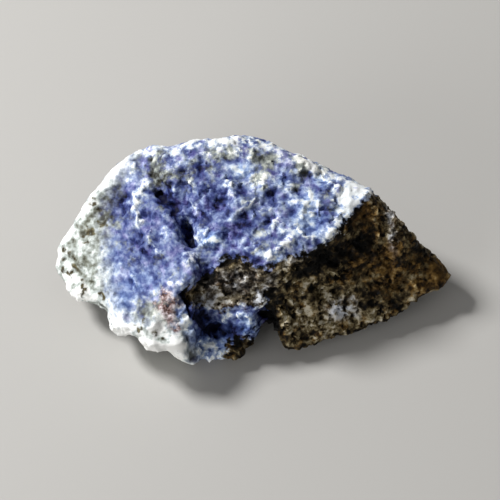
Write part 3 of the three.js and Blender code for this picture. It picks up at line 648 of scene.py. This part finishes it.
finish = {
    "facetSize": 1.5,  # mm
    "flakeSize": 0.8,  # mm
    "secondPlace": (40, 10, 20),  # mm away, where tint, blots and flakes are taken from
    "slant": (0.64, -0.667, -0.385),  # the way the lobe's grain runs, down to the right
    "slantStretch": 0.5,  # 0 for round grains, and nearer 1 for long ones
    "bumpStrength": 0.6,
    "bumpDepth": 0.06,  # mm
    "refraction": 1.48,
    "shine": 0.12,
}


def stoneMaterial():
    material = bpy.data.materials.new("sodalite")
    material.use_nodes = True
    tree = material.node_tree
    tree.nodes.clear()
    sheet = Sheet(tree)
    place = sheet.scaled(sheet.node("ShaderNodeTexCoord", output="Object"), 1 / mm)
    elsewhere = sheet.vector("ADD", place, finish["secondPlace"])

    def layer(name):
        # mm inside a zone's edge, or the strength of a mark or stain
        return sheet.node("ShaderNodeAttribute", {"attribute_name": name}, {}, "Fac")

    def pattern(name, where=place):
        return sheet.noise(where, *patterns[name])

    def paint(name, tone):
        return sheet.ramp(tone, colours[name])

    cluster = pattern("cluster")
    lump = pattern("lump")
    grit = pattern("grit")
    speck = pattern("speck")
    wobble = pattern("wobble")

    # the lobe's grain runs aslant
    slant = finish["slant"]
    along = sheet.vector("DOT_PRODUCT", place, slant, output="Value")
    squeezed = sheet.scaled(slant, along * finish["slantStretch"])
    streak = pattern("streak", sheet.vector("SUBTRACT", place, squeezed))
    tint = pattern("tint", elsewhere)
    blot = pattern("blot", elsewhere)
    facet = sheet.facets(place, finish["facetSize"])
    flake = sheet.facets(elsewhere, finish["flakeSize"])
    crisp = sheet.rise(grit + blot * 0.4, -0.07, 0.07) - 0.5
    # the relief's height and grains: the tone is lighter on bumps and grains and darker in dips and
    # gaps, as painted light and shade
    fine = layer("fine")
    grains = layer("grains") - 0.6
    behind = layer("behind")
    weighed = {"cluster": cluster, "lump": lump, "grit": grit, "blot": blot, "facet": facet,
               "flake": flake, "crisp": crisp, "fine": fine}

    def blend(zone):
        # a zone's patterns together, each by its weight
        parts = [weighed[name] * weight for name, weight in weights[zone].items()]
        total = parts[0]
        for part in parts[1:]:
            total = total + part
        return total

    # drawn marks, ragged at their edges: lighter on crests and darker in grooves, partly the
    # stone's own tone and partly painted light and shade over the relief
    ragged = sheet.clamp(1 + grit * 4.5 + blot * 3, 0.1, 1.9)
    crest = layer("crest") * ragged
    groove = layer("groove") * ragged
    markToneAndShade = crest / (crest + 0.5) * 0.7 - groove / (groove + 0.5) * 0.7

    # blue: black indigo to white, calmer and more streaked on the lobe
    calm = sheet.rise(layer("lobe"), -0.5, 1.5)
    scales = sheet.rise(streak + facet * 0.12, -0.06, 0.05) - 0.5
    streaks = (streak * 0.66 + scales * 0.08) * calm
    tone = blend("blue") * (1 - calm * 0.42)
    tone = tone + streaks + cluster * (0.5 - calm * 0.2) + flake * 0.08
    fleck = sheet.rise(blot + flake * 0.25, 0.09, 0.2)
    tone = tones["blue"] + tone - calm * 0.04 + fine * 0.3 + grains * 0.08
    tone = tone + fleck * (0.06 - calm * 0.04) + markToneAndShade
    # the rim's white is partly a painted highlight on edges that face the light
    rim = layer("rim") * sheet.clamp(0.9 + cluster * 2 + wobble * 2.5, 0, 1.2)
    # the white stains lighten it, partly as painted highlight
    tone = tone + layer("white") * 0.55 + rim * 0.35
    # the deep stains darken it, partly as painted shade in the crevice and the pocket
    tone = sheet.clamp(tone - layer("deep") * 0.5 - layer("olive") * 0.06)

    # violet by the streaks, sky blue where it is drawn, and grey where the tint says
    violetShare = sheet.rise(streak * 0.8 - tint, 0.0, 0.2) * 0.75
    colour = sheet.mix(violetShare, paint("blue", tone), paint("violet", tone))
    colour = sheet.mix(sheet.clamp(layer("sky") + grit), colour, paint("sky", tone))
    shy = layer("sky") * 0.4 + layer("deep") * 0.7
    greyShare = sheet.rise(tint * 1.2 + blot * 0.5 + layer("olive") * 0.5 - shy, 0.0, 0.34)
    colour = sheet.mix(greyShare, colour, paint("grey", tone))

    # behind, the zones' edges wander widely
    loose = (cluster * 1.4 + wobble) * behind

    # rind: greyish cream, white along its rim, partly as painted highlight, with olive freckles
    rindTone = tones["rind"] + blend("rind")
    # the white stains add painted highlight here too
    rindTone = sheet.clamp(rindTone + rim * 0.5 + layer("white") * 0.3 + markToneAndShade * 0.6)
    rindEdge = layer("rind") + (wobble * 5 + cluster * 3 + loose * 22)
    rindShare = sheet.rise(rindEdge, -4.2, 2.4)
    colour = sheet.mix(rindShare, colour, paint("rind", rindTone))
    freckles = sheet.clamp(layer("freckle") * (1.6 + blot * 6) - 0.15)
    dusting = sheet.rise(blot + tint * 0.4 + layer("olive") * 0.14, 0.12, 0.3) * rindShare * 0.6
    olive = paint("olive", sheet.clamp(0.4 + grit * 1.5 + blot))
    colour = sheet.mix(sheet.clamp(freckles + dusting), colour, olive)

    # rust on the corner of the lobe
    rust = paint("rust", sheet.clamp(0.53 + grit * 2.2 + blot * 2.4))
    colour = sheet.mix(sheet.clamp(layer("rust") * (1.45 + blot * 5) - 0.12), colour, rust)

    # brown: near black in the gaps to tan and grey on the grains, with painted shade along its edge
    # below the blue
    # the murk marks are partly painted shade, and the patterns are quieter there
    quiet = sheet.clamp(layer("murk") * 0.4 + layer("ochre") * 0.5, 0, 0.6)
    brownTone = tones["brown"] + blend("brown") * (1 - quiet) + markToneAndShade * 0.8
    # painted light where the brown side is lit
    brownTone = brownTone + layer("light") * 0.5
    # painted shade just inside the brown zone's edge, under the ridge
    brownEdgeShade = (1 - sheet.rise(layer("brown") + wobble, 0.1, 1.5)) * (1 - behind)
    # the murk marks darken it, partly as painted shade
    brownTone = brownTone - brownEdgeShade * 0.2 + layer("pale") * 0.3 - layer("murk") * 0.4
    brownTone = sheet.clamp(brownTone - layer("pits") * 0.2)

    # with ochre and pale stains on it
    ochreShare = sheet.rise(tint * 1.6 + blot * 0.5 + layer("ochre") * 0.42, 0.04, 0.34)
    brown = sheet.mix(ochreShare, paint("brown", brownTone), paint("ochre", brownTone))
    paleShare = sheet.clamp(layer("pale") * (0.8 + grit * 4 + facet * 1.2))
    brown = sheet.mix(paleShare, brown, paint("pale", brownTone))
    brownEdge = layer("brown") + (wobble * 4 - grit * 3.5 - blot * 2 + loose * 16)
    colour = sheet.mix(sheet.rise(brownEdge, -0.4, 0.4), colour, brown)

    # a duller skin behind and below
    skin = paint("skin", sheet.clamp(tone * 0.7 + 0.1))
    colour = sheet.mix(behind * sheet.rise(tint + cluster, -0.2, 0.14) * 0.8, colour, skin)

    # dull grains and brighter glassy ones
    roughness = sheet.clamp(0.6 - tint * 0.5 - speck * 0.5, 0.3, 0.95)
    bump = sheet.node("ShaderNodeBump", {}, {
        "Strength": finish["bumpStrength"], "Distance": finish["bumpDepth"] * mm,
        "Height": pattern("bump")})
    shader = sheet.node("ShaderNodeBsdfPrincipled", {}, {
        "Base Color": colour, "Roughness": roughness, "Normal": bump,
        "IOR": finish["refraction"], "Specular IOR Level": finish["shine"]})
    sheet.node("ShaderNodeOutputMaterial", {}, {0: shader})
    return material


def fineCopy(source, voxel):
    # a smooth closed copy of a solid, in even small faces
    piece = bpy.data.objects.new("fineCopy", source.data.copy())
    bpy.context.scene.collection.objects.link(piece)
    weld = piece.modifiers.new("weld", "WELD")
    weld.merge_threshold = stone["weld"] * mm
    remesh = piece.modifiers.new("remesh", "REMESH")
    remesh.mode = "VOXEL"
    remesh.voxel_size = voxel * mm
    evaluated = piece.evaluated_get(bpy.context.evaluated_depsgraph_get())
    fine = bpy.data.meshes.new_from_object(evaluated)
    bpy.data.objects.remove(piece)
    return fine


def buildStone():
    mesh = fineCopy(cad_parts["sodalite_stone"], stone["voxel"])
    mesh.materials.clear()
    layZones(mesh)
    print("zones laid on", len(mesh.vertices), "points")
    piece = bpy.data.objects.new("sodalite", mesh)
    bpy.context.scene.collection.objects.link(piece)

    tree = reliefTree()
    carver = piece.modifiers.new("relief", "NODES")
    carver.node_group = tree
    chosen = dict(relief, Softening=stone["softening"], Material=stoneMaterial())
    for item in tree.interface.items_tree:
        if item.in_out == "INPUT" and item.name in chosen:
            carver[item.identifier] = chosen[item.name]
    evaluated = piece.evaluated_get(bpy.context.evaluated_depsgraph_get())
    finished = bpy.data.meshes.new_from_object(evaluated)
    piece.modifiers.clear()
    piece.data = finished
    finished.polygons.foreach_set("use_smooth", [True] * len(finished.polygons))
    finished.set_sharp_from_angle(angle=math.radians(stone["sharpAngle"]))
    finished.calc_loop_triangles()
    print("stone carved,", len(finished.loop_triangles), "triangles")
    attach(piece, "root")
    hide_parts("sodalite_stone")


studio = {
    "floorSize": 3.0,  # m
    "floorColour": (190, 188, 184),
    "floorRoughness": 0.9,
    "lightDistance": 0.8,  # m
    "keyFrom": (-0.62, 0.30, 0.72),  # from the upper left of the view
    "keySize": 0.2,  # m across
    "keyPower": 7.2,  # W
    "fillFrom": (-0.75, -0.68, 0.3),
    "fillSize": 0.6,
    "fillPower": 2.6,
    "skyStrength": 0.16,
    "lens": 500,  # mm
    "sensor": 36,  # mm
    "viewWidth": 0.110,  # m across the view at the stone
    "elevation": 60,  # degrees above the floor
    "nearest": 0.01,  # m, of what the camera sees
    "farthest": 20,
}


def layFloor():
    half = studio["floorSize"] / 2
    mesh = bpy.data.meshes.new("floor")
    mesh.from_pydata([(-half, -half, 0), (half, -half, 0), (half, half, 0), (-half, half, 0)], [],
                     [(0, 1, 2, 3)])
    material = bpy.data.materials.new("paleFloor")
    material.use_nodes = True
    shader = material.node_tree.nodes["Principled BSDF"]
    shader.inputs["Base Color"].default_value = linear(studio["floorColour"])
    shader.inputs["Roughness"].default_value = studio["floorRoughness"]
    mesh.materials.append(material)
    floor = bpy.data.objects.new("floor", mesh)
    bpy.context.scene.collection.objects.link(floor)


def aimed(thing, direction, distance):
    # puts a light or camera that far out from the stone's face, looking at its middle
    item = bpy.data.objects.new(thing.name, thing)
    bpy.context.scene.collection.objects.link(item)
    away = Vector(direction).normalized() * distance
    item.location = Vector(face["middle"]) * mm + away
    item.rotation_euler = (-away).to_track_quat("-Z", "Y").to_euler()
    return item


def areaLight(name, size, power):
    light = bpy.data.lights.new(name, "AREA")
    light.shape = "DISK"
    light.size = size
    light.energy = power
    return light


def lightScene():
    key = areaLight("key", studio["keySize"], studio["keyPower"])
    aimed(key, studio["keyFrom"], studio["lightDistance"])
    fill = areaLight("fill", studio["fillSize"], studio["fillPower"])
    aimed(fill, studio["fillFrom"], studio["lightDistance"])
    world = bpy.data.worlds.new("sky")
    world.use_nodes = True
    backdrop = world.node_tree.nodes["Background"]
    backdrop.inputs["Color"].default_value = (1, 1, 1, 1)
    backdrop.inputs["Strength"].default_value = studio["skyStrength"]
    bpy.context.scene.world = world
    bpy.context.scene.view_settings.view_transform = "Standard"


def setCamera():
    camera = bpy.data.cameras.new("camera")
    camera.lens = studio["lens"]
    camera.sensor_width = studio["sensor"]
    camera.clip_start = studio["nearest"]
    camera.clip_end = studio["farthest"]
    tilt = math.radians(studio["elevation"])
    distance = studio["viewWidth"] * camera.lens / camera.sensor_width
    bpy.context.scene.camera = aimed(camera, (0, -math.cos(tilt), math.sin(tilt)), distance)


buildStone()
layFloor()
lightScene()
setCamera()
print("studio set")
